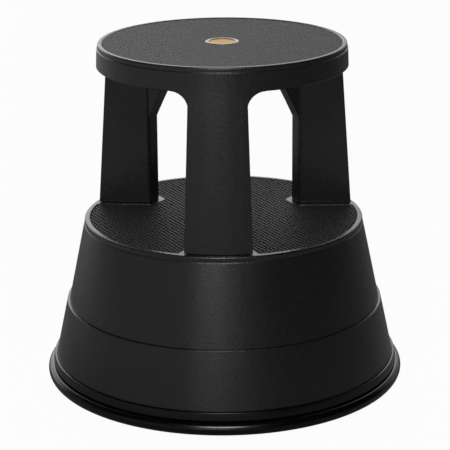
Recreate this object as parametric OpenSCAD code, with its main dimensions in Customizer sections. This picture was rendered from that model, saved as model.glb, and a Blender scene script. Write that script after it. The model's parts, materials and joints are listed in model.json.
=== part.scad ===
// Kick stool: a round platform on three legs above a wide step drum. The drum rolls on three sprung
// castors and sinks onto its rubber ring when somebody steps on it.
// Origin: on the floor under the middle of the stool. +Z is up, and one leg points to -Y.

/* [Overall] */
// Height of the platform's rim above the floor
overall_h = 425; // [415:1:435]
// Height of the rubber ring above the floor while the castors carry the stool
ring_gap = 10.5; // [8:0.5:12]

/* [Platform] */
// Radius of the platform's band at its top
band_top_r = 149.5; // [147:0.5:150]
// Radius of the band at its lower edge
band_low_r = 150.4; // [150:0.1:152]
// Height of the band from its lower edge to the rim
band_h = 28.5; // [24:0.5:34]
// Radius of the top mat
top_mat_r = 142.3; // [136:0.1:143]
// Outer radius of the badge ring
badge_r = 20.3; // [15:0.1:26]

/* [Legs] */
// Outer radius of the legs where they stand on the step
leg_foot_r = 163.2; // [158:0.1:163.4]
// Distance from the middle of the stool to the inner faces of the legs
leg_inner_r = 101.5; // [96:0.5:106]
// Half of the width of a leg's inner face
leg_inner_half_w = 10; // [8:0.5:12]
// Angle between a leg's side and the line to the middle of the stool
leg_side_angle = 27.3; // [24:0.1:29]
// Wall thickness of the upper moulding
wall = 4; // [3:0.5:5]
// Radius of the corner between a leg and the band
leg_fillet_r = 20; // [14:1:24]

/* [Step drum] */
// Height of the step's rim
step_z = 210.5; // [205:0.5:216]
// Radius of the drum just below the step's rim
step_r = 170.3; // [170:0.1:172]
// Radius of the step mat
step_mat_r = 162.7; // [161:0.1:163]
// Radius of the drum at the seam
seam_r = 190.9; // [190:0.1:192]
// Height of the seam
seam_z = 106.2; // [105:0.1:109]
// Wall thickness of the drum and the skirt
drum_wall = 3.5; // [3:0.5:4]
// Margin of the smooth pad round each leg's foot
pad_margin = 7; // [5:0.5:9]

/* [Skirt and ring] */
// How far the skirt stands out from the drum at the seam
seam_ledge = 2.8; // [1:0.1:3]
// Radius of the skirt where the ring starts
skirt_low_r = 208.6; // [207:0.1:209]
// Height of the top of the rubber ring
ring_top_z = 37.5; // [36:0.5:39]
// Largest radius of the rubber ring
ring_r = 220; // [219:0.5:222]

/* [Castors] */
// Distance from the middle of the stool to each castor's stem
castor_r = 150; // [145:1:155]
// How far a wheel's axle sits behind its stem
castor_trail = 12; // [10:0.5:13]
// Radius of a wheel with its tyre
wheel_r = 17; // [16:0.5:17]
// Travel of a castor when the stool is stepped on
castor_travel = 11; // [8:0.5:12]

/* [Hidden] */
$fn = 96;
LEG_ANGLES = [-90, 30, 150];
CASTOR_ANGLES = [-30, 90, 210];

// Colours
BLACK = [0.13, 0.13, 0.14];
MAT = [0.20, 0.20, 0.21];
RUBBER = [0.06, 0.06, 0.065];
STEEL = [0.72, 0.73, 0.75];
ZINC = [0.60, 0.61, 0.63];
NYLON = [0.30, 0.30, 0.32];
AMBER = [0.93, 0.68, 0.22];

// Platform
band_low_z = overall_h - band_h;
rim_h = 6;
rim_inset = 1.2;
rim_round = 2;
mat_floor_z = overall_h - 2.7;
plate_t = 4;
plate_low_z = mat_floor_z - plate_t;
mat_t = 2.1;

// Legs
leg_low_z = step_z + 0.6;
leg_corner_r = 5;
leg_boss_r = 6;
leg_boss_h = 32;
leg_screw_x = 12;
leg_screw_r = 128;
screw_hole_r = 2.5;
screw_shank_r = 2.4;

// Step drum
step_floor_z = step_z - 2.8;
deck_t = 3.7;
deck_low_z = step_floor_z - deck_t;
step_rim_h = 6.8;
step_rim_inset = 0.8;
flange_in_r = 172;
flange_t = 4;

// Skirt
skirt_top_r = seam_r + seam_ledge;
skirt_low_z = ring_gap + 3.5;
shelf_t = 3.5;
castor_deck_z = 76;
castor_deck_t = 3.5;
castor_deck_r = 110;
flange_screw_r = 178.4;

// Castors
stem_r = 4;
guide_r = 9;
running_gap = 0.06;
fork_plate_z = 37.65;
fork_plate_t = 3.2;
collar_z = fork_plate_z + fork_plate_t + 0.15;
guide_z = collar_z + 3;
guide_h = 30;
housing_low_z = guide_z + castor_travel + 1;
housing_top_z = guide_z + guide_h + 30;
housing_r = 13.5;
housing_flange_r = 27;
housing_screw_r = 20;
axle_r = 2.5;

// Radius of the outer face of the band and the legs at height z
function shell_r(z) = z > band_low_z
    ? band_low_r + (band_top_r - band_low_r) * (z - band_low_z) / (band_h - rim_h)
    : band_low_r + (leg_foot_r - band_low_r) * (band_low_z - z) / (band_low_z - leg_low_z);

// Radius of the drum's outer face at height z
function drum_r(z) = seam_r + (step_r - seam_r) * (z - seam_z) / (step_z - step_rim_h - seam_z);

// Radius of the skirt's outer face at height z
function skirt_r(z) = skirt_top_r + (skirt_low_r - skirt_top_r) * (seam_z - z) / (seam_z - ring_top_z);

// Points on an arc about c, from angle a to angle b
function arc(c, r, a, b, n = 8) =
    [for (i = [0:n]) c + r * [cos(a + (b - a) * i / n), sin(a + (b - a) * i / n)]];

// Puts a child that is drawn towards -Y at each leg
module at_legs() {
    for (a = LEG_ANGLES) rotate([0, 0, a + 90]) children();
}

// Puts a child that is drawn about the Z axis at castor i, with +X pointing outwards
module at_castor(i) {
    rotate([0, 0, CASTOR_ANGLES[i - 1]]) translate([castor_r, 0, 0]) children();
}

// Plan of a leg towards -Y, grown outwards by margin, with round inner corners of radius corner
module leg_plan(margin = 0, corner = leg_corner_r, reach = 175) {
    slope = tan(leg_side_angle);
    inner = leg_inner_r - margin;
    half = leg_inner_half_w + margin / cos(leg_side_angle) - margin * slope;
    cx = half + corner * slope - corner / cos(leg_side_angle);
    outer = half + (reach - inner) * slope;
    polygon(concat(arc([-cx, -inner - corner], corner, 180 - leg_side_angle, 90, 6),
                   arc([cx, -inner - corner], corner, 90, leg_side_angle, 6),
                   [[outer, -reach], [-outer, -reach]]));
}

// Solid inside the outer face of the legs and the band, made smaller by inset
module shell_core(inset, z0, z1) {
    rotate_extrude()
        polygon([[0, z0], [shell_r(z0) - inset, z0], [shell_r(band_low_z) - inset, band_low_z],
                 [shell_r(z1) - inset, z1], [0, z1]]);
}

// Rim, band and plate of the platform
module platform_shell() {
    ledge_z = overall_h - rim_h;
    rim_r = band_top_r - rim_inset;
    corner = arc([rim_r - rim_round, overall_h - rim_round], rim_round, 0, 90, 4);
    rotate_extrude()
        polygon(concat(
            [[0, plate_low_z], [shell_r(plate_low_z) - wall, plate_low_z], [band_low_r - wall, band_low_z],
             [band_low_r - 1, band_low_z], [shell_r(band_low_z + 1), band_low_z + 1],
             [band_top_r, ledge_z - 0.4], [band_top_r - 0.4, ledge_z], [rim_r, ledge_z]],
            corner,
            [[rim_r - 4.4, overall_h], [top_mat_r + 0.2, overall_h - 1], [top_mat_r + 0.1, mat_floor_z],
             [0, mat_floor_z]]));
}

// Ring-shaped rib of radius r and height h
module rib_ring(r, h) {
    difference() {
        cylinder(r = r + 1.5, h = h);
        translate([0, 0, -1]) cylinder(r = r - 1.5, h = h + 2);
    }
}

// Stiffening ribs under the platform
module platform_ribs() {
    rib_low_z = band_low_z + 8;
    rib_h = plate_low_z - rib_low_z;
    translate([0, 0, rib_low_z]) {
        for (a = [0:30:330]) rotate([0, 0, a]) translate([22, -1.5, 0]) cube([123, 3, rib_h]);
        for (r = [24, 78]) translate([0, 0, 1.5]) rib_ring(r, rib_h - 1.5);
    }
}

// One hollow leg towards -Y, up to the plate
module leg_shell() {
    difference() {
        intersection() {
            shell_core(0, leg_low_z, plate_low_z + 0.5);
            translate([0, 0, leg_low_z]) linear_extrude(plate_low_z + 0.5 - leg_low_z) leg_plan();
        }
        intersection() {
            shell_core(wall, leg_low_z - 1, plate_low_z);
            translate([0, 0, leg_low_z - 1]) linear_extrude(plate_low_z + 1 - leg_low_z)
                leg_plan(-wall, 1.5);
        }
    }
}

// Curved corners between a leg's outer face and the band
module leg_corners() {
    edge_x = leg_inner_half_w + (shell_r(band_low_z) * 0.975 - leg_inner_r) * tan(leg_side_angle);
    far_x = edge_x + leg_fillet_r;
    low_z = band_low_z - leg_fillet_r;
    intersection() {
        difference() {
            shell_core(0, low_z, band_low_z + 3);
            translate([0, 0, -1]) shell_core(wall, low_z - 1, band_low_z + 5);
        }
        for (s = [-1, 1]) {
            difference() {
                translate([s < 0 ? -far_x : edge_x - 6, -160, low_z])
                    cube([leg_fillet_r + 6, 60, leg_fillet_r + 2]);
                translate([s * far_x, -90, low_z]) rotate([90, 0, 0]) cylinder(r = leg_fillet_r, h = 80);
            }
        }
    }
}

// Gusset from a leg's inner face to the plate
module gusset() {
    half_w = leg_inner_half_w - 1;
    profile = [[leg_inner_r + 3, 318], [leg_inner_r, 320], [93, 337], [82, 358], [68, 380], [54, 402],
               [48, plate_low_z + 0.5], [leg_inner_r + 3, plate_low_z + 0.5]];
    rotate([0, 0, -90]) rotate([90, 0, 0]) translate([0, 0, -half_w]) linear_extrude(2 * half_w)
        polygon(profile);
}

// Screw bosses and the wall that ties them together inside a leg's foot
module leg_bosses() {
    difference() {
        union() {
            for (s = [-1, 1])
                translate([s * leg_screw_x, -leg_screw_r, leg_low_z])
                    cylinder(r = leg_boss_r, h = leg_boss_h);
            translate([-21, -leg_screw_r - 1.5, leg_low_z]) cube([42, 3, leg_boss_h + 20]);
        }
        for (s = [-1, 1])
            translate([s * leg_screw_x, -leg_screw_r, leg_low_z - 1])
                cylinder(r = screw_hole_r, h = leg_boss_h);
    }
}

module upper_body() {
    color(BLACK) {
        platform_shell();
        platform_ribs();
        at_legs() {
            leg_shell();
            leg_corners();
            gusset();
            leg_bosses();
        }
    }
}

module top_mat() {
    color(MAT) translate([0, 0, mat_floor_z]) difference() {
        cylinder(r = top_mat_r, h = mat_t);
        translate([0, 0, -1]) cylinder(r = badge_r + 0.2, h = mat_t + 2);
    }
}

module badge_ring() {
    inner_r = badge_r - 4.6;
    color(STEEL) rotate_extrude()
        polygon([[inner_r, mat_floor_z], [badge_r, mat_floor_z], [badge_r, mat_floor_z + 1.9],
                 [badge_r - 0.8, mat_floor_z + 2.5], [inner_r + 1, mat_floor_z + 2.5],
                 [inner_r, mat_floor_z + 1.8]]);
}

module badge_disc() {
    disc_r = badge_r - 4.7;
    color(AMBER) rotate_extrude()
        polygon([[0, mat_floor_z], [disc_r, mat_floor_z], [disc_r, mat_floor_z + 1.5],
                 [0, mat_floor_z + 1.8]]);
}

// Outline of the smooth pad under a leg
module pad_plan(clearance = 0) {
    leg_plan(pad_margin + clearance, 9, 180);
}

// Screw hole positions under the legs
module at_leg_screws() {
    at_legs() for (s = [-1, 1]) translate([s * leg_screw_x, -leg_screw_r, 0]) children();
}

// Wall, rim, deck and lower flange of the drum
module drum_shell() {
    low_z = seam_z + flange_t;
    ledge_z = step_z - step_rim_h;
    rim_low_r = step_r - step_rim_inset;
    corner = arc([rim_low_r - rim_round, step_z - rim_round], rim_round, 0, 90, 4);
    rotate_extrude()
        polygon(concat(
            [[flange_in_r, seam_z], [seam_r, seam_z], [step_r, ledge_z - 0.4], [step_r - 0.4, ledge_z],
             [rim_low_r, ledge_z]],
            corner,
            [[step_mat_r + 0.6, step_z], [step_mat_r + 0.1, step_floor_z], [0, step_floor_z],
             [0, deck_low_z], [drum_r(deck_low_z) - drum_wall, deck_low_z],
             [drum_r(low_z) - drum_wall, low_z], [flange_in_r, low_z]]));
}

// Ribs under the step deck
module drum_ribs() {
    rib_h = 14;
    translate([0, 0, deck_low_z - rib_h]) {
        for (a = [0:30:330]) rotate([0, 0, a]) translate([38, -1.5, 0]) cube([125, 3, rib_h]);
        for (r = [40, 100]) translate([0, 0, 1.5]) rib_ring(r, rib_h - 1.5);
    }
}

module step_drum() {
    plinth_inset = 2;
    boss_h = 14;
    color(BLACK) difference() {
        union() {
            drum_shell();
            drum_ribs();
            intersection() {
                translate([0, 0, step_floor_z - 0.5])
                    cylinder(r = step_mat_r + 1, h = step_z - step_floor_z + 0.5);
                at_legs() translate([0, 0, step_floor_z - 1]) linear_extrude(10) pad_plan();
            }
            intersection() {
                translate([0, 0, step_z - 0.5])
                    cylinder(r = leg_foot_r - plinth_inset, h = leg_low_z - step_z + 0.5);
                at_legs() translate([0, 0, step_z - 1]) linear_extrude(5) leg_plan(-plinth_inset, 3);
            }
            for (i = [0:5]) rotate([0, 0, 30 + 60 * i]) translate([flange_screw_r, 0, seam_z])
                cylinder(r = 4.8, h = flange_t + boss_h);
        }
        at_leg_screws() translate([0, 0, deck_low_z - 1]) cylinder(r = screw_hole_r, h = 30);
        for (i = [0:5]) rotate([0, 0, 30 + 60 * i]) translate([flange_screw_r, 0, seam_z - 1])
            cylinder(r = screw_hole_r, h = flange_t + boss_h - 1);
    }
}

module step_mat() {
    mat_gap = 0.15;
    color(MAT) translate([0, 0, step_floor_z]) difference() {
        cylinder(r = step_mat_r, h = step_z - step_floor_z - 0.4);
        at_legs() translate([0, 0, -1]) linear_extrude(5) pad_plan(mat_gap);
    }
}

// Outer wall, shelf at the seam and castor deck of the skirt
module skirt_shell() {
    deck_top = castor_deck_z + castor_deck_t;
    lip_r = skirt_low_r - 2;
    shelf_z = seam_z - shelf_t;
    rotate_extrude()
        polygon([[flange_in_r, seam_z], [skirt_top_r, seam_z], [skirt_low_r, ring_top_z],
                 [lip_r, ring_top_z - 0.5], [lip_r, skirt_low_z], [lip_r - drum_wall, skirt_low_z],
                 [lip_r - drum_wall, ring_top_z - 3],
                 [skirt_r(castor_deck_z) - drum_wall, castor_deck_z], [castor_deck_r + 3, castor_deck_z],
                 [castor_deck_r + 3, castor_deck_z - 14], [castor_deck_r, castor_deck_z - 14],
                 [castor_deck_r, deck_top], [skirt_r(deck_top) - drum_wall, deck_top],
                 [skirt_r(shelf_z) - drum_wall, shelf_z], [flange_in_r, shelf_z]]);
}

// Ribs between the castor deck and the skirt's wall
module skirt_ribs() {
    deck_top = castor_deck_z + castor_deck_t;
    intersection() {
        rotate_extrude()
            polygon([[castor_deck_r + 1, castor_deck_z - 13],
                     [skirt_r(castor_deck_z - 13) - 2, castor_deck_z - 13],
                     [skirt_r(seam_z - 2) - 2, seam_z - 2], [flange_in_r + 1, seam_z - 2],
                     [castor_deck_r + 1, deck_top + 2]]);
        for (a = [0:30:330]) {
            rotate([0, 0, a + 15]) translate([castor_deck_r - 5, -1.5, castor_deck_z - 20])
                cube([100, 3, 60]);
        }
    }
}

module base_skirt() {
    boss_h = 13;
    color(BLACK) difference() {
        union() {
            skirt_shell();
            skirt_ribs();
            for (i = [1:3]) at_castor(i) {
                for (a = [0, 120, 240]) rotate([0, 0, a]) translate([housing_screw_r, 0, castor_deck_z])
                    cylinder(r = 5, h = boss_h);
            }
        }
        for (i = [1:3]) at_castor(i) {
            translate([0, 0, castor_deck_z - 1]) cylinder(r = housing_r + 0.3, h = 30);
            for (a = [0, 120, 240]) rotate([0, 0, a]) translate([housing_screw_r, 0, castor_deck_z - 1])
                cylinder(r = screw_hole_r, h = boss_h);
        }
        for (i = [0:5]) rotate([0, 0, 30 + 60 * i]) translate([flange_screw_r, 0, seam_z - 10])
            cylinder(r = screw_hole_r, h = 20);
    }
}

module bumper_ring() {
    in_r = skirt_low_r - 1.9;
    bulge_r = 7.7;
    bulge_c = [ring_r - bulge_r, ring_gap + bulge_r + 0.25];
    band_r = ring_r - 6.7;
    root_z = bulge_c[1] + bulge_r;
    top = [[in_r, ring_top_z - 0.9], [skirt_low_r + 0.2, ring_top_z - 0.3], [skirt_low_r + 0.8, ring_top_z],
           [band_r - 2.2, ring_top_z - 0.2], [band_r - 1.6, ring_top_z - 0.9]];
    groove = [[band_r, root_z + 2.4], [band_r - 0.3, root_z + 1.6], [band_r - 3.4, root_z + 0.8],
              [band_r - 3.4, root_z]];
    foot = [[band_r, ring_gap], [in_r - 7.5, ring_gap], [in_r - 7.5, skirt_low_z - 0.1],
            [in_r, skirt_low_z - 0.1]];
    color(RUBBER) rotate_extrude()
        polygon(concat(top, groove, arc(bulge_c, bulge_r, 75, -75, 20), foot));
}

// Pan-head screw along +Z: the head is below z = 0 and the shank above it
module screw(len) {
    head_r = 4.6;
    head_h = 3;
    slot_w = 1.2;
    difference() {
        union() {
            translate([0, 0, -head_h]) cylinder(r1 = head_r - 0.8, r2 = head_r, h = head_h);
            cylinder(r = screw_shank_r, h = len);
            translate([0, 0, len]) cylinder(r1 = screw_shank_r, r2 = 0.8, h = 2);
        }
        for (a = [0, 90]) rotate([0, 0, a]) translate([-3, -slot_w / 2, -head_h - 1]) cube([6, slot_w, 2.4]);
    }
}

module leg_screws() {
    color(ZINC) at_leg_screws() translate([0, 0, deck_low_z]) screw(32);
}

module skirt_screws() {
    color(ZINC) for (i = [0:5]) rotate([0, 0, 30 + 60 * i])
        translate([flange_screw_r, 0, seam_z - shelf_t]) screw(16);
}

module housing_screws() {
    color(ZINC) for (i = [1:3]) at_castor(i)
        for (a = [0, 120, 240]) rotate([0, 0, a])
            translate([housing_screw_r, 0, castor_deck_z - 3]) screw(11);
}

// Guide tube of a castor, with the flange that is screwed under the castor deck
module castor_housing(i) {
    flange_z = castor_deck_z - 3;
    color(BLACK) at_castor(i) difference() {
        union() {
            translate([0, 0, housing_low_z]) cylinder(r = housing_r, h = housing_top_z + 4 - housing_low_z);
            translate([0, 0, flange_z]) cylinder(r = housing_flange_r, h = 3);
            translate([0, 0, housing_low_z]) cylinder(r = housing_r + 1.5, h = 3);
        }
        translate([0, 0, housing_low_z - 1])
            cylinder(r = guide_r + running_gap, h = housing_top_z - housing_low_z + 1);
        translate([0, 0, housing_top_z - 1]) cylinder(r = stem_r + running_gap, h = 10);
        for (a = [0, 120, 240]) rotate([0, 0, a]) translate([housing_screw_r, 0, flange_z - 1])
            cylinder(r = screw_hole_r, h = 5);
    }
}

// Sliding stem: a rod through the housing's top, the guided barrel, a collar, and the fork's pivot
module castor_plunger(i) {
    rod_top_z = housing_top_z + 9;
    clip_z = housing_top_z + 4.2;
    color(STEEL) at_castor(i) difference() {
        union() {
            translate([0, 0, fork_plate_z - 3]) cylinder(r = 6, h = 2.85);
            translate([0, 0, fork_plate_z - 1]) cylinder(r = stem_r, h = fork_plate_t + 2.5);
            translate([0, 0, collar_z]) cylinder(r = 13, h = guide_z - collar_z);
            translate([0, 0, guide_z]) cylinder(r = guide_r, h = guide_h);
            translate([0, 0, guide_z + guide_h - 1])
                cylinder(r = stem_r, h = rod_top_z - guide_z - guide_h + 1);
        }
        translate([0, 0, clip_z]) difference() {
            cylinder(r = stem_r + 2, h = 1.4);
            translate([0, 0, -1]) cylinder(r = stem_r - 0.8, h = 3.4);
        }
    }
}

// Open ring that keeps the plunger in its housing
module castor_clip(i) {
    clip_z = housing_top_z + 4.25;
    color(ZINC) at_castor(i) translate([0, 0, clip_z]) difference() {
        cylinder(r = 7, h = 1.3);
        translate([0, 0, -1]) cylinder(r = stem_r - 0.75, h = 4);
        translate([0, -2.6, -1]) cube([10, 5.2, 4]);
    }
}

// Points of one ring of the spring's wire, at turn angle t
function spring_ring(t, z, coil_r, wire_r, sides) =
    [for (k = [0:sides - 1])
        let (w = 360 * k / sides)
        [(coil_r + wire_r * cos(w)) * cos(t), (coil_r + wire_r * cos(w)) * sin(t), z + wire_r * sin(w)]];

module castor_spring(i) {
    coil_r = 6.3;
    wire_r = 0.85;
    turns = 6;
    sides = 8;
    steps = turns * 16;
    low_z = guide_z + guide_h + wire_r + 0.05;
    high_z = housing_top_z - wire_r - 0.05;
    points = [for (s = [0:steps], p = spring_ring(
        360 * turns * s / steps, low_z + (high_z - low_z) * s / steps, coil_r, wire_r, sides)) p];
    walls = [for (s = [0:steps - 1], k = [0:sides - 1])
        [s * sides + k, s * sides + (k + 1) % sides, (s + 1) * sides + (k + 1) % sides, (s + 1) * sides + k]];
    ends = [[for (k = [sides - 1:-1:0]) k], [for (k = [0:sides - 1]) steps * sides + k]];
    color(STEEL) at_castor(i) polyhedron(points = points, faces = concat(ends, walls), convexity = 8);
}

// Swivelling fork: a plate on the stem and two cheeks that hold the axle
module castor_fork(i) {
    cheek_in = 8;
    cheek_t = 2.6;
    color(NYLON) at_castor(i) rotate([0, 0, 180]) difference() {
        union() {
            translate([0, 0, fork_plate_z]) cylinder(r = 13.5, h = fork_plate_t);
            translate([0, -cheek_in - cheek_t, fork_plate_z])
                cube([castor_trail, 2 * (cheek_in + cheek_t), fork_plate_t]);
            for (s = [-1, 1]) translate([0, s * (cheek_in + cheek_t / 2) + cheek_t / 2, 0]) rotate([90, 0, 0])
                linear_extrude(cheek_t) union() {
                    polygon([[-7, fork_plate_z + fork_plate_t], [-7, fork_plate_z - 4],
                             [castor_trail - 6.4, wheel_r - 2],
                             [castor_trail + 6.4, wheel_r - 2], [castor_trail + 7, wheel_r + 8],
                             [castor_trail, fork_plate_z + fork_plate_t]]);
                    translate([castor_trail, wheel_r]) circle(r = 6.8);
                }
        }
        translate([0, 0, fork_plate_z - 1]) cylinder(r = stem_r + running_gap, h = fork_plate_t + 2);
        translate([castor_trail, 20, wheel_r]) rotate([90, 0, 0]) cylinder(r = axle_r, h = 40);
    }
}

// Axle pin with a head at each end
module castor_axle(i) {
    half_l = 10.6;
    color(STEEL) at_castor(i) translate([-castor_trail, 0, wheel_r]) rotate([90, 0, 0]) {
        translate([0, 0, -half_l - 0.1]) cylinder(r = axle_r, h = 2 * half_l + 0.2);
        for (s = [-1, 1]) translate([0, 0, s * (half_l + 0.75)]) cylinder(r = 4, h = 1.4, center = true);
    }
}

// Wheel centre with its bore
module castor_wheel(i) {
    half_w = 7.2;
    bore_r = axle_r + running_gap;
    tread_r = wheel_r - 4.5;
    color(NYLON) at_castor(i) translate([-castor_trail, 0, wheel_r]) rotate([90, 0, 0]) rotate_extrude()
        polygon([[bore_r, -half_w], [bore_r + 3.4, -half_w], [bore_r + 3.6, -3], [tread_r - 2.2, -3],
                 [tread_r - 2, -half_w + 0.8], [tread_r, -half_w + 0.8], [tread_r, half_w - 0.8],
                 [tread_r - 2, half_w - 0.8], [tread_r - 2.2, 3], [bore_r + 3.6, 3], [bore_r + 3.4, half_w],
                 [bore_r, half_w]]);
}

// Rubber tyre with a crowned tread
module castor_tyre(i) {
    half_w = 6.4;
    tread_r = wheel_r - 4.5;
    crown_r = wheel_r - 1.6;
    color(RUBBER) at_castor(i) translate([-castor_trail, 0, wheel_r]) rotate([90, 0, 0]) rotate_extrude()
        polygon(concat([[tread_r, -half_w], [crown_r, -half_w]],
                       [for (k = [-3:3]) [wheel_r - 0.1 * k * k, k * 1.5]],
                       [[crown_r, half_w], [tread_r, half_w]]));
}

upper_body();
top_mat();
badge_ring();
badge_disc();
step_drum();
step_mat();
base_skirt();
bumper_ring();
leg_screws();
skirt_screws();
housing_screws();
for (i = [1:3]) {
    castor_housing(i);
    castor_plunger(i);
    castor_spring(i);
    castor_clip(i);
    castor_fork(i);
    castor_axle(i);
    castor_wheel(i);
    castor_tyre(i);
}
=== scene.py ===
"""Rolling kick stool: black moulded plastic, a studded mat on each tread, a rubber ring and three castors."""

import json
import math

import bmesh
import bpy
import numpy as np
from mathutils import Matrix, Vector

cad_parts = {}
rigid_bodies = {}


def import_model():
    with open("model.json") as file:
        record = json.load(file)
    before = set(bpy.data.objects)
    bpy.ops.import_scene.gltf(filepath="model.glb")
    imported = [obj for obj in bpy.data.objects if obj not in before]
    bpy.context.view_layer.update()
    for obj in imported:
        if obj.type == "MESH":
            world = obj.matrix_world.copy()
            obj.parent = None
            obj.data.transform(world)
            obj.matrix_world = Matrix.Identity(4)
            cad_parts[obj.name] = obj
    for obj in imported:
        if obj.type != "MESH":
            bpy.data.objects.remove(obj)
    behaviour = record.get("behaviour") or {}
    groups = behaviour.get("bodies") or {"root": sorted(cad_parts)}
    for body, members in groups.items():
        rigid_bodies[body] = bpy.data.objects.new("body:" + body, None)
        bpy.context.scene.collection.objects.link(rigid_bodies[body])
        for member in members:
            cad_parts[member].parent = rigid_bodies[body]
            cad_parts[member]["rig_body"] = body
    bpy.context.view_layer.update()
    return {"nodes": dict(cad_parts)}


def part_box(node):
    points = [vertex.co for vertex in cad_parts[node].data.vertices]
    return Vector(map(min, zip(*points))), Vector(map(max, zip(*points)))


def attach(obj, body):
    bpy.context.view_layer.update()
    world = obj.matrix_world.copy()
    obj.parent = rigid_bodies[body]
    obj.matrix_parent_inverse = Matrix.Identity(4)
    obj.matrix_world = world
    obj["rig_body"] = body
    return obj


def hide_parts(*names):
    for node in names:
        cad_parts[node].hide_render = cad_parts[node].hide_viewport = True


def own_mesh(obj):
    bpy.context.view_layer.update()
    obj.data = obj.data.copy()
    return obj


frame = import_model()
NODES = frame["nodes"]

MM = 0.001
CASTORS = (1, 2, 3)

# Mesh work: distances that count as touching and as level, in metres, and angles in degrees
WELD = 2e-6
LEVEL = 1e-5
FLAT_ANGLE = 0.7
SHARP_ANGLE = 32.0
ROUND_SEGMENTS = 2


# ---------------------------------------------------------------- materials

class Graph:
    """A shader node tree that is written in few words."""

    def __init__(self, owner):
        owner.use_nodes = True
        self.tree = owner.node_tree
        self.tree.nodes.clear()

    def add(self, kind, inputs=(), **settings):
        """Adds a node; an input is a value or another node's output."""
        node = self.tree.nodes.new("ShaderNode" + kind)
        for key, value in settings.items():
            setattr(node, key, value)
        for key, value in dict(inputs).items():
            socket = node.inputs[key]
            if isinstance(value, bpy.types.NodeSocket):
                self.tree.links.new(value, socket)
            else:
                socket.default_value = value
        return node

    def math(self, operation, a, b=0.0, clamp=False):
        node = self.add("Math", {0: a, 1: b}, operation=operation)
        node.use_clamp = clamp
        return node.outputs[0]

    def ramp(self, value, low, high, out_low=0.0, out_high=1.0):
        node = self.add("MapRange", {"Value": value, "From Min": low, "From Max": high,
                                     "To Min": out_low, "To Max": out_high},
                        interpolation_type="SMOOTHSTEP")
        return node.outputs["Result"]

    def mix(self, factor, a, b):
        node = self.add("Mix", {0: factor, 6: a, 7: b}, data_type="RGBA")
        return node.outputs[2]

    def output(self, shader, kind="OutputMaterial"):
        self.add(kind, {"Surface": shader})


def grey(value, tint=(1.0, 1.0, 1.0)):
    return (value * tint[0], value * tint[1], value * tint[2], 1.0)


def moulded_material(name, dark, light, worn, rough, grain, depth, specular=0.5, streaks=0.0, edge=0.0):
    """Moulded plastic or rubber: a pebbled grain, faint upright flow marks and rubbed edges.

    The grain and its depth are in metres, and edge is the radius that the shading gives to sharp edges.
    """
    material = bpy.data.materials.new(name)
    g = Graph(material)
    where = g.add("TexCoord").outputs["Object"]
    cells = g.add("TexVoronoi", {"Vector": where, "Scale": 1 / grain, "Randomness": 1.0},
                  feature="F1").outputs["Distance"]
    fine = g.add("TexNoise", {"Vector": where, "Scale": 0.7 / grain, "Detail": 3.0,
                              "Roughness": 0.55}).outputs["Fac"]
    upright = g.add("Mapping", {"Vector": where, "Scale": (1.0, 1.0, 0.06)}).outputs["Vector"]
    flow = g.add("TexNoise", {"Vector": upright, "Scale": 140.0, "Detail": 3.0}).outputs["Fac"]
    smears = g.add("TexNoise", {"Vector": where, "Scale": 60.0, "Detail": 4.0,
                                "Distortion": 0.6}).outputs["Fac"]
    wear = g.add("Attribute", attribute_name="wear").outputs["Fac"]
    rubbed = g.math("MULTIPLY", wear, g.ramp(smears, 0.4, 0.62, 0.15, 1.0), clamp=True)
    colour = g.mix(rubbed, g.mix(g.ramp(fine, 0.35, 0.65), dark, light), worn)
    gloss = g.math("ADD", g.ramp(flow, 0.35, 0.65, rough - streaks, rough + streaks),
                   g.math("MULTIPLY", g.math("SUBTRACT", fine, 0.5), 0.1), clamp=True)
    relief = g.math("ADD", cells, g.math("MULTIPLY", fine, 0.5))
    bump = g.add("Bump", {"Height": relief, "Distance": depth, "Strength": 1.0})
    if edge:
        rounded = g.add("Bevel", {"Radius": edge}, samples=6).outputs["Normal"]
        g.tree.links.new(rounded, bump.inputs["Normal"])
    shader = g.add("BsdfPrincipled", {"Base Color": colour, "Roughness": gloss,
                                      "Normal": bump.outputs["Normal"],
                                      "IOR": 1.5, "Specular IOR Level": specular})
    g.output(shader.outputs[0])
    return material


def metal_material(name, low, high, rough, streak_scale):
    """Drawn or plated metal: fine streaks, small stains and a rougher haze."""
    material = bpy.data.materials.new(name)
    g = Graph(material)
    where = g.add("TexCoord").outputs["Object"]
    stretched = g.add("Mapping", {"Vector": where, "Scale": streak_scale}).outputs["Vector"]
    streaks = g.add("TexNoise", {"Vector": stretched, "Scale": 900.0, "Detail": 3.0}).outputs["Fac"]
    stains = g.add("TexNoise", {"Vector": where, "Scale": 160.0, "Detail": 5.0}).outputs["Fac"]
    both = g.math("ADD", g.math("MULTIPLY", streaks, 0.5), g.math("MULTIPLY", stains, 0.5))
    tone = g.ramp(both, 0.38, 0.62)
    gloss = g.ramp(stains, 0.3, 0.7, rough - 0.06, rough + 0.1)
    bump = g.add("Bump", {"Height": streaks, "Distance": 0.00001}).outputs["Normal"]
    shader = g.add("BsdfPrincipled", {"Base Color": g.mix(tone, low, high), "Metallic": 1.0,
                                      "Roughness": gloss, "Normal": bump})
    g.output(shader.outputs[0])
    return material


AMBER_DEEP = (0.80, 0.42, 0.045, 1.0)
AMBER_PALE = (0.88, 0.49, 0.06, 1.0)


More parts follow.
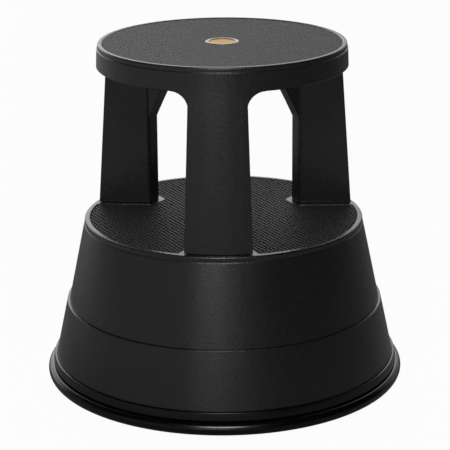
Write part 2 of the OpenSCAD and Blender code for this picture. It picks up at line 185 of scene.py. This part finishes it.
def amber_material():
    """Amber plastic badge with faint flow marks under a satin top."""
    material = bpy.data.materials.new("amber_plastic")
    g = Graph(material)
    where = g.add("TexCoord").outputs["Object"]
    flow = g.add("TexNoise", {"Vector": where, "Scale": 180.0, "Detail": 4.0,
                              "Distortion": 1.2}).outputs["Fac"]
    grain = g.add("TexNoise", {"Vector": where, "Scale": 1800.0, "Detail": 2.0}).outputs["Fac"]
    colour = g.mix(g.ramp(flow, 0.3, 0.7), AMBER_DEEP, AMBER_PALE)
    bump = g.add("Bump", {"Height": grain, "Distance": 0.00002}).outputs["Normal"]
    gloss = g.ramp(flow, 0.3, 0.7, 0.45, 0.55)
    shader = g.add("BsdfPrincipled", {"Base Color": colour, "Roughness": gloss,
                                      "Normal": bump, "Specular IOR Level": 0.2})
    g.output(shader.outputs[0])
    return material


PLASTIC = moulded_material("black_moulded_plastic", grey(0.0075), grey(0.0115), grey(0.020),
                           rough=0.28, grain=0.0016, depth=0.00011, streaks=0.012, edge=0.0012)
MAT_RUBBER = moulded_material("mat_rubber", grey(0.010), grey(0.014), grey(0.018),
                              rough=0.55, grain=0.0012, depth=0.00005, specular=0.3)
RING_RUBBER = moulded_material("bumper_rubber", grey(0.0015), grey(0.0025), grey(0.004),
                               rough=0.22, grain=0.0030, depth=0.00002, specular=0.35)
TYRE_RUBBER = moulded_material("tyre_rubber", grey(0.03), grey(0.05), grey(0.09),
                               rough=0.6, grain=0.0010, depth=0.00008)
NYLON = moulded_material("grey_nylon", grey(0.06), grey(0.085), grey(0.14),
                         rough=0.42, grain=0.0011, depth=0.00006)
CHROME = metal_material("satin_bezel", grey(0.20), grey(0.27), 0.32, (1.0, 1.0, 1.0))
STEEL = metal_material("turned_steel", grey(0.42), grey(0.6), 0.28, (1.0, 1.0, 14.0))
ZINC = metal_material("zinc_plate", grey(0.5, (1.0, 0.98, 0.92)), grey(0.66, (1.0, 1.0, 0.96)), 0.34,
                      (3.0, 1.0, 1.0))
AMBER = amber_material()


# ---------------------------------------------------------------- mesh helpers

def new_object(name, mesh):
    obj = bpy.data.objects.new(name, mesh)
    bpy.context.scene.collection.objects.link(obj)
    return obj


def settle(obj, material, node):
    """Finishes a piece: its material, the body that it rides on, and the CAD node that it stands for."""
    obj.data.materials.clear()
    obj.data.materials.append(material)
    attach(obj, NODES[node]["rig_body"])
    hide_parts(node)
    return obj


def sharp_edges(bm):
    limit = math.radians(SHARP_ANGLE)
    return [e for e in bm.edges if e.is_manifold and e.calc_face_angle(0.0) > limit]


def cleaned(node):
    """A welded copy of a CAD node's mesh, with its flat faces in one piece each."""
    bm = bmesh.new()
    bm.from_mesh(NODES[node].data)
    bmesh.ops.remove_doubles(bm, verts=bm.verts, dist=WELD)
    bmesh.ops.dissolve_limit(bm, angle_limit=math.radians(FLAT_ANGLE), verts=bm.verts, edges=bm.edges)
    return bm


def soften(bm, width):
    """Rounds the sharp edges, and marks the rounded faces as worn."""
    wear = bm.loops.layers.float.new("wear")
    made = bmesh.ops.bevel(bm, geom=sharp_edges(bm), offset=width, offset_type="OFFSET",
                           segments=ROUND_SEGMENTS, profile=0.5, affect="EDGES", clamp_overlap=True)
    for face in bm.faces:
        face.smooth = True
    for face in made["faces"]:
        for loop in face.loops:
            loop[wear] = 1.0


def weighted_normals(obj):
    modifier = obj.modifiers.new("face_normals", "WEIGHTED_NORMAL")
    modifier.mode = "FACE_AREA"
    modifier.keep_sharp = True
    return obj


def finished(bm, name, material, node):
    """Makes the piece from its mesh, in place of the CAD node."""
    mesh = bpy.data.meshes.new(name)
    bm.to_mesh(mesh)
    bm.free()
    return settle(weighted_normals(new_object(name, mesh)), material, node)


def softened_copy(node, name, material, width):
    """Stands for a CAD node: the same shape with its edges rounded."""
    bm = cleaned(node)
    soften(bm, width)
    return finished(bm, name, material, node)


def top_outline(bm):
    """The edges round the top face of a flat piece, as an array of pairs of points."""
    top = max(v.co.z for v in bm.verts)
    faces = {f for f in bm.faces if f.normal.z > 0.9 and all(top - v.co.z < LEVEL for v in f.verts)}
    edges = [e for e in bm.edges if sum(f in faces for f in e.link_faces) == 1]
    return top, np.array([[v.co.xy[:] for v in e.verts] for e in edges])


def inside(points, edges):
    """Whether each point lies within the outline, by counting the edges that it sees towards +X."""
    a, b = edges[:, 0], edges[:, 1]
    x, y = points[:, 0, None], points[:, 1, None]
    spans = (a[:, 1] > y) != (b[:, 1] > y)
    rise = np.where(b[:, 1] == a[:, 1], 1.0, b[:, 1] - a[:, 1])
    return (spans & (x < a[:, 0] + (y - a[:, 1]) * (b[:, 0] - a[:, 0]) / rise)).sum(1) % 2 == 1


def nearest_on_outline(points, edges):
    """The point of the outline that is nearest to each point."""
    a, along = edges[:, 0], edges[:, 1] - edges[:, 0]
    t = ((points[:, None] - a) * along).sum(2) / np.maximum((along ** 2).sum(1), 1e-18)
    on = a + np.clip(t, 0, 1)[..., None] * along
    return on[np.arange(len(points)), ((points[:, None] - on) ** 2).sum(2).argmin(1)]


def clip(polygon, at, keep):
    """The part of a flat polygon on the keep side of a line through at."""
    kept = []
    for p, q in zip(polygon, np.roll(polygon, -1, axis=0)):
        dp, dq = np.dot(p - at, keep), np.dot(q - at, keep)
        if dp >= 0:
            kept.append(p)
        if dp * dq < 0:
            kept.append(p + (q - p) * dp / (dp - dq))
    return np.array(kept)


def add_stud(bm, base, low, high, taper):
    """A closed frustum on the flat polygon base."""
    middle = base.mean(0)
    top = middle + (base - middle) * taper
    rings = [[bm.verts.new((x, y, z)) for x, y in ring] for ring, z in ((base, low), (top, high))]
    count = len(base)
    faces = [bm.faces.new(rings[0][::-1]), bm.faces.new(rings[1])]
    faces += [bm.faces.new((rings[0][i], rings[0][(i + 1) % count], rings[1][(i + 1) % count], rings[1][i]))
              for i in range(count)]
    return faces


# How deep a stud is rooted in the mat, and the least part of its width that is worth keeping
STUD_ROOT = 0.1 * MM
STUD_LEAST = 0.2


def studded_mat(node, name, pitch, angle, stud, taper, relief, margin):
    """A mat with a square lattice of studs that runs up to its outline.

    Studs that cross the outline are cut back to the margin, and slivers of one are left out.
    """
    bm = cleaned(node)
    top, edges = top_outline(bm)
    for v in bm.verts:
        if top - v.co.z < LEVEL:
            v.co.z -= relief
    soften(bm, 0.25 * MM)
    wear = bm.loops.layers.float["wear"]
    reach = int(np.abs(edges).max() / pitch * 1.5) + 1
    turn = math.radians(angle)
    u = np.array([math.cos(turn), math.sin(turn)])
    v = np.array([-u[1], u[0]])
    steps = np.arange(-reach, reach + 1)
    grid = (steps[:, None, None] * u + steps[None, :, None] * v).reshape(-1, 2) * pitch
    grid = grid[np.hypot(*grid.T) < np.abs(edges).max() * 1.02]
    near = nearest_on_outline(grid, edges)
    within = inside(grid, edges)
    corners = [(-1, -1), (1, -1), (1, 1), (-1, 1)]
    half, least = stud / 2, stud * STUD_LEAST
    for centre, rim, is_in in zip(grid, near, within):
        gap = np.linalg.norm(centre - rim) * (1 if is_in else -1)
        if gap < -half:
            continue
        base = np.array([centre + half * (i * u + j * v) for i, j in corners])
        if gap < half * 1.5 + margin:
            inward = (centre - rim) / max(abs(gap), 1e-9) * (1 if is_in else -1)
            base = clip(base, rim + inward * margin, inward)
        if len(base) < 3 or np.ptp(base @ u) < least or np.ptp(base @ v) < least:
            continue
        for face in add_stud(bm, base, top - relief - STUD_ROOT, top, taper):
            for loop in face.loops:
                loop[wear] = 1.0 if loop.vert.co.z > top - 1e-6 else 0.0
    return finished(bm, name, MAT_RUBBER, node)


def tube(bm, path, radius, sides=10):
    """A closed round tube along a path."""
    rings = []
    side = None
    for i, point in enumerate(path):
        ahead = (path[min(i + 1, len(path) - 1)] - path[max(i - 1, 0)]).normalized()
        side = ahead.orthogonal() if side is None else side - ahead * side.dot(ahead)
        side.normalize()
        up = ahead.cross(side)
        rings.append([bm.verts.new(point + radius * (math.cos(a) * side + math.sin(a) * up))
                      for a in (2 * math.pi * k / sides for k in range(sides))])
    for a, b in zip(rings, rings[1:]):
        for k in range(sides):
            bm.faces.new((a[k], a[(k + 1) % sides], b[(k + 1) % sides], b[k])).smooth = True
    bm.faces.new(rings[0][::-1])
    bm.faces.new(rings[-1])


def castor_spring(i):
    """Compression spring with a closed turn at each end."""
    node = f"castor_spring_{i}"
    low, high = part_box(node)
    middle = (low + high) / 2
    wire = 0.85 * MM
    coil = (high.x - low.x) / 2 - wire
    turns, dead_turns, steps_a_turn = 7.5, 0.9, 28
    count = int(turns * steps_a_turn)
    closed = 2.1 * wire
    path = []
    for k in range(count + 1):
        turn = turns * k / count
        live = min(max((turn - dead_turns) / (turns - 2 * dead_turns), 0.0), 1.0)
        rise = closed * (min(turn, dead_turns) + max(turn - turns + dead_turns, 0.0))
        z = low.z + wire + rise + live * (high.z - low.z - 2 * wire - 2 * closed * dead_turns)
        angle = 2 * math.pi * turn
        path.append(Vector((middle.x + coil * math.cos(angle), middle.y + coil * math.sin(angle), z)))
    bm = bmesh.new()
    tube(bm, path, wire)
    mesh = bpy.data.meshes.new(f"spring_{i}")
    bm.to_mesh(mesh)
    bm.free()
    spring = settle(new_object(f"spring_{i}", mesh), STEEL, node)
    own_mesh(spring)


# ---------------------------------------------------------------- camera and studio

# Camera: place in metres, turns in degrees, lens and frame width in millimetres
CAMERA_AT = Vector((0.07865, -2.0474, 0.8464))
CAMERA_HEADING = 2.2
CAMERA_PITCH = 17.63
CAMERA_ROLL = 0.446
CAMERA_LENS = 140.16
CAMERA_FRAME = 36.0
CAMERA_SHIFT_X = 0.0031


def make_camera():
    data = bpy.data.cameras.new("camera")
    data.sensor_width = CAMERA_FRAME
    data.lens = CAMERA_LENS
    data.shift_x = CAMERA_SHIFT_X
    data.clip_start, data.clip_end = 0.05, 60.0
    camera = bpy.data.objects.new("camera", data)
    bpy.context.scene.collection.objects.link(camera)
    heading, pitch = math.radians(CAMERA_HEADING), math.radians(CAMERA_PITCH)
    ahead = Vector((-math.sin(heading) * math.cos(pitch), math.cos(heading) * math.cos(pitch),
                    -math.sin(pitch)))
    turn = ahead.to_track_quat("-Z", "Y").to_matrix().to_4x4()
    roll = Matrix.Rotation(-math.radians(CAMERA_ROLL), 4, "Z")
    camera.matrix_world = Matrix.Translation(CAMERA_AT) @ turn @ roll
    bpy.context.scene.camera = camera


# Floor: half its width and the limits of its glow along X in metres; its paint, glow and whiteness as shares
FLOOR_HALF = 8.0
FLOOR_PAINT = 0.3
FLOOR_GLOW = 0.25
GLOW_FULL_X, GLOW_NONE_X = -1.1, -0.3
FLOOR_WHITENESS = 0.97


def make_floor():
    """Plain pale floor, open from below so that the castors can be looked at.

    The camera sees it almost white, while it reflects as grey paint with a glow towards -X.
    """
    corners = [(x * FLOOR_HALF, y * FLOOR_HALF, 0) for x, y in ((-1, -1), (1, -1), (1, 1), (-1, 1))]
    mesh = bpy.data.meshes.new("floor")
    mesh.from_pydata(corners, [], [(0, 1, 2, 3)])
    floor = new_object("floor", mesh)
    material = bpy.data.materials.new("floor_paint")
    material.cycles.emission_sampling = "NONE"
    g = Graph(material)
    seen = g.add("LightPath").outputs["Is Camera Ray"]
    under = g.add("NewGeometry").outputs["Backfacing"]
    where = g.add("SeparateXYZ", {0: g.add("TexCoord").outputs["Object"]}).outputs
    paint = g.add("BsdfDiffuse", {"Color": grey(FLOOR_PAINT)}).outputs[0]
    left = g.ramp(where[0], GLOW_FULL_X, GLOW_NONE_X, FLOOR_GLOW, 0.0)
    glow = g.add("Emission", {"Color": grey(1.0), "Strength": left}).outputs[0]
    dim = g.add("AddShader", {0: paint, 1: glow}).outputs[0]
    bright = g.add("Emission", {"Color": grey(1.0), "Strength": 1.0}).outputs[0]
    whiteness = g.math("MULTIPLY", seen, FLOOR_WHITENESS)
    lit = g.add("MixShader", {0: whiteness, 1: dim, 2: bright}).outputs[0]
    clear = g.add("BsdfTransparent").outputs[0]
    g.output(g.add("MixShader", {0: under, 1: lit, 2: clear}).outputs[0])
    mesh.materials.append(material)


# Soft areas of the studio: azimuth from the front towards +X, elevation, half width in degrees, and strength
STUDIO_LOBES = (
    (180, 40, 35, 1.78),
    (210, 5, 35, 1.55),
    (180, 5, 35, 0.45),
    (150, 5, 35, 0.50),
    (0, 5, 35, 0.30),
    (-50, 5, 35, 0.29),
    (-100, 5, 35, 0.13),
)


def direction(azimuth, elevation):
    """The direction of an azimuth from -Y towards +X and an elevation, both in degrees."""
    a, e = math.radians(azimuth), math.radians(elevation)
    return Vector((math.sin(a) * math.cos(e), -math.cos(a) * math.cos(e), math.sin(e)))


def make_world():
    world = bpy.data.worlds.new("studio")
    bpy.context.scene.world = world
    g = Graph(world)
    ray = g.add("TexCoord").outputs["Generated"]
    total = 0.0
    for azimuth, elevation, width, strength in STUDIO_LOBES:
        toward = direction(azimuth, elevation)
        facing = g.add("VectorMath", {0: ray, 1: toward}, operation="DOT_PRODUCT").outputs["Value"]
        lobe = g.ramp(facing, math.cos(math.radians(width)), 1.0, 0.0, strength)
        total = g.math("ADD", lobe, total)
    seen = g.add("LightPath").outputs["Is Camera Ray"]
    soft = g.add("Background", {"Color": grey(1.0), "Strength": total}).outputs[0]
    white = g.add("Background", {"Color": grey(1.0), "Strength": 1.0}).outputs[0]
    g.output(g.add("MixShader", {0: seen, 1: soft, 2: white}).outputs[0], "OutputWorld")


def area_light(name, at, target, size, power):
    data = bpy.data.lights.new(name, "AREA")
    data.shape = "RECTANGLE"
    data.size, data.size_y = size
    data.energy = power
    light = bpy.data.objects.new(name, data)
    bpy.context.scene.collection.objects.link(light)
    aim = (Vector(target) - Vector(at)).to_track_quat("-Z", "Y").to_matrix().to_4x4()
    light.matrix_world = Matrix.Translation(at) @ aim
    light.visible_camera = False


def make_lights():
    area_light("key_box", (0.0, -1.6, 1.5), (0, 0, 0.3), (0.7, 0.7), 21.9)
    area_light("front_fill", (-0.2, -2.2, 0.6), (0, 0, 0.3), (0.8, 0.5), 2.6)


make_camera()
make_floor()
make_world()
make_lights()
bpy.context.scene.view_settings.view_transform = "Standard"

# ---------------------------------------------------------------- pieces

softened_copy("upper_body", "upper_moulding", PLASTIC, 0.9 * MM)
softened_copy("step_drum", "step_moulding", PLASTIC, 0.6 * MM)
softened_copy("base_skirt", "skirt_moulding", PLASTIC, 0.6 * MM)
softened_copy("bumper_ring", "rubber_ring", RING_RUBBER, 0.4 * MM)
studded_mat("top_mat", "top_mat_rubber", pitch=3.69 * MM, angle=15, stud=3.0 * MM, taper=0.8,
            relief=0.3 * MM, margin=0.25 * MM)
studded_mat("step_mat", "step_mat_rubber", pitch=5.22 * MM, angle=30, stud=4.0 * MM, taper=0.76,
            relief=1.1 * MM, margin=0.3 * MM)
softened_copy("badge_ring", "badge_bezel", CHROME, 0.2 * MM)
softened_copy("badge_disc", "badge_lens", AMBER, 0.3 * MM)
for screws in ("leg_screws", "skirt_screws", "housing_screws"):
    softened_copy(screws, screws + "_zinc", ZINC, 0.15 * MM)
for i in CASTORS:
    softened_copy(f"castor_housing_{i}", f"housing_{i}", NYLON, 0.4 * MM)
    softened_copy(f"castor_plunger_{i}", f"plunger_{i}", STEEL, 0.3 * MM)
    softened_copy(f"castor_clip_{i}", f"clip_{i}", ZINC, 0.2 * MM)
    softened_copy(f"castor_fork_{i}", f"fork_{i}", NYLON, 0.35 * MM)
    softened_copy(f"castor_axle_{i}", f"axle_{i}", STEEL, 0.25 * MM)
    softened_copy(f"castor_wheel_{i}", f"wheel_{i}", NYLON, 0.3 * MM)
    softened_copy(f"castor_tyre_{i}", f"tyre_{i}", TYRE_RUBBER, 0.3 * MM)
    castor_spring(i)
